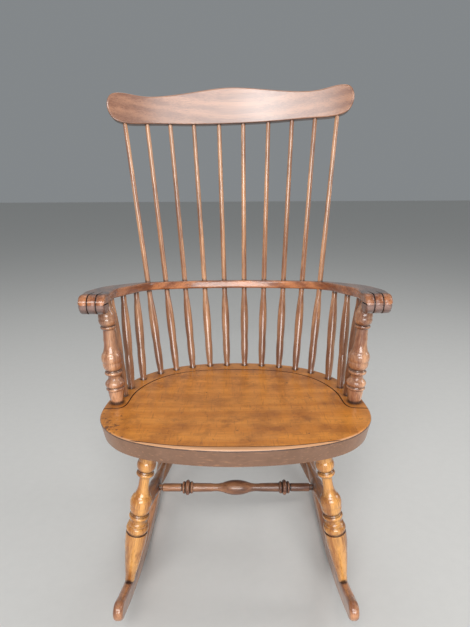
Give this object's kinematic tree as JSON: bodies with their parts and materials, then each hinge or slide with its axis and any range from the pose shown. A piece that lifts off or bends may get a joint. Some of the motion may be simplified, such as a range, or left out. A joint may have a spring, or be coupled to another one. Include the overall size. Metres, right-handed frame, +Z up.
{
  "type": "rocking chair",
  "caption": "Comb-back Windsor rocking chair in glossy stained wood, with a bent arm rail, turned legs and curved rockers.",
  "frame": {"origin": "on the floor, in the middle of the chair's bounding box", "axes": "+Z up, the chair's front faces -Y, +X is to the right of someone looking at its front"},
  "size_m": [0.6331, 0.745, 1.0935],
  "materials": {
    "seat_wood": "gloss amber stain over a cross-grained plank",
    "comb_wood": "gloss pink-brown stain",
    "arm_wood": "gloss red-brown stain",
    "spindle_wood": "gloss honey stain",
    "post_wood": "gloss brown stain",
    "leg_wood": "gloss honey stain, dark in the hollows",
    "stretcher_wood": "gloss red-brown stain, darker edges",
    "rocker_wood": "gloss red-brown stain"
  },
  "bodies": {
    "root": {"seat": "seat_wood", "crest_rail": "comb_wood", "arm_bow": "arm_wood", "hand_hold_left": "arm_wood", "hand_hold_right": "arm_wood", "back_spindle_01": "spindle_wood", "back_spindle_02": "spindle_wood", "back_spindle_03": "spindle_wood", "back_spindle_04": "spindle_wood", "back_spindle_05": "spindle_wood", "back_spindle_06": "spindle_wood", "back_spindle_07": "spindle_wood", "back_spindle_08": "spindle_wood", "back_spindle_09": "spindle_wood", "back_spindle_10": "spindle_wood", "arm_spindle_left_1": "spindle_wood", "arm_spindle_left_2": "spindle_wood", "arm_spindle_left_3": "spindle_wood", "arm_spindle_right_1": "spindle_wood", "arm_spindle_right_2": "spindle_wood", "arm_spindle_right_3": "spindle_wood", "arm_post_left": "post_wood", "arm_post_right": "post_wood", "front_leg_left": "leg_wood", "front_leg_right": "leg_wood", "rear_leg_left": "leg_wood", "rear_leg_right": "leg_wood", "side_stretcher_left": "stretcher_wood", "side_stretcher_right": "stretcher_wood", "centre_stretcher": "stretcher_wood", "rocker_left": "rocker_wood", "rocker_right": "rocker_wood"}
  },
  "joints": []
}
